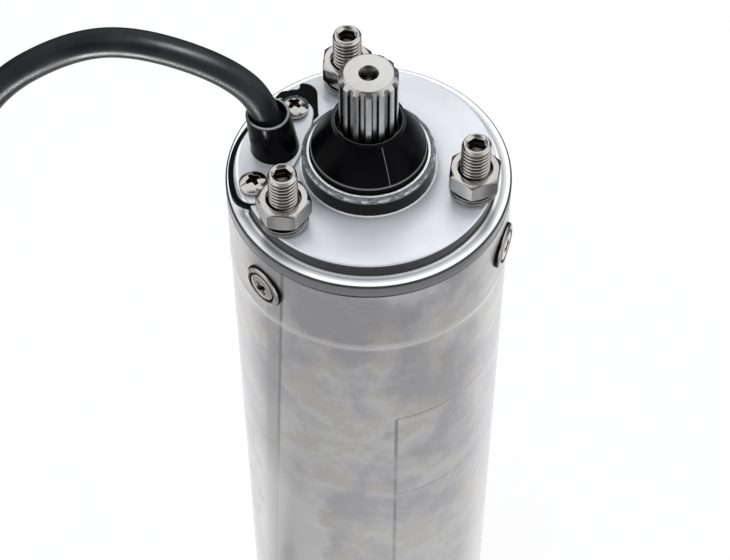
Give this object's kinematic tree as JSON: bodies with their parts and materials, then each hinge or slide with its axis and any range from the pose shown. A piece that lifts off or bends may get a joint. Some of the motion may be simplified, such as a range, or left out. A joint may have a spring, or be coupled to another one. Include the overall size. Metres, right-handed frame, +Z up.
{
  "type": "submersible borehole motor",
  "caption": "Upright stainless motor for a borehole pump: round casing, splined drive shaft under a rubber slinger, ring of mounting studs, flanged cable gland and coiled lead.",
  "frame": {"origin": "centre of the flat bottom face, on the shaft's axis", "axes": "+Z up along the shaft towards the splined end; the lead leaves the top on the -X side; -Y faces the viewer of the picture"},
  "size_m": [0.174, 0.1445, 0.3775],
  "materials": {
    "casing_steel": "satin",
    "cover_steel": "satin",
    "bell_iron": "matte",
    "fastener_steel": "polished",
    "housing_steel": "polished",
    "shaft_steel": "satin",
    "bearing_steel": "polished",
    "cage_steel": "satin",
    "spring_steel": "satin",
    "lamination_steel": "matte",
    "winding_wire": "satin",
    "rotor_aluminium": "matte",
    "seal_rubber": "matte",
    "slinger_rubber": "satin",
    "cable_rubber": "satin",
    "gland_rubber": "gloss",
    "seal_ceramic": "satin",
    "seal_graphite": "satin",
    "tie_nylon": "satin",
    "core_sheath": "satin",
    "ferrule_tin": "satin"
  },
  "bodies": {
    "motor_frame": {"casing": "casing_steel", "top_cover": "cover_steel", "bottom_cover": "cover_steel", "upper_end_bell": "bell_iron", "lower_end_bell": "bell_iron", "upper_o_ring": "seal_rubber", "lower_o_ring": "seal_rubber", "diaphragm": "seal_rubber", "lead_gasket": "seal_rubber", "side_seal_washers": "seal_rubber", "lip_seal": "seal_rubber", "mounting_studs": "fastener_steel", "stud_nuts": "fastener_steel", "spring_washers": "fastener_steel", "flange_screws": "fastener_steel", "side_screws": "fastener_steel", "cup_washers": "fastener_steel", "lead_flange": "cover_steel", "seal_housing": "housing_steel", "seal_seat": "seal_ceramic", "preload_washer": "spring_steel", "stator_core": "lamination_steel", "main_winding": "winding_wire", "start_winding": "winding_wire", "upper_outer_race": "bearing_steel", "lower_outer_race": "bearing_steel", "cable_gland": "gland_rubber", "motor_cable": "cable_rubber", "cable_coil": "cable_rubber", "cable_tail": "cable_rubber", "coil_ties": "tie_nylon", "cable_cores": "core_sheath", "core_ferrules": "ferrule_tin", "lead_wires": "core_sheath"},
    "rotor": {"shaft": "shaft_steel", "rotor_core": "lamination_steel", "rotor_cage": "rotor_aluminium", "upper_inner_race": "bearing_steel", "lower_inner_race": "bearing_steel", "sand_slinger": "slinger_rubber", "seal_face": "seal_graphite", "seal_bellows": "seal_rubber", "circlip": "spring_steel"},
    "upper_ball_set": {"upper_balls": "bearing_steel", "upper_cage": "cage_steel"},
    "lower_ball_set": {"lower_balls": "bearing_steel", "lower_cage": "cage_steel"},
    "compensator": {"compensator_plate": "cover_steel"}
  },
  "joints": [
    {"name": "rotor_spin", "type": "hinge", "parent": "motor_frame", "child": "rotor", "pos_m": [0, 0, 0.308], "axis": [0, 0, 1], "continuous": true},
    {"name": "upper_ball_roll", "type": "hinge", "parent": "motor_frame", "child": "upper_ball_set", "pos_m": [0, 0, 0.308], "axis": [0, 0, 1], "continuous": true},
    {"name": "lower_ball_roll", "type": "hinge", "parent": "motor_frame", "child": "lower_ball_set", "pos_m": [0, 0, 0.045], "axis": [0, 0, 1], "continuous": true},
    {"name": "compensator_slide", "type": "slide", "parent": "motor_frame", "child": "compensator", "axis": [0, 0, 1], "range_m": [-0.003, 0.003], "stiffness_N_per_m": 2000, "deforming": ["diaphragm"]}
  ],
  "couplings": [
    {"joint": "upper_ball_roll", "follows": "rotor_spin", "ratio": 0.3842},
    {"joint": "lower_ball_roll", "follows": "rotor_spin", "ratio": 0.3842}
  ]
}
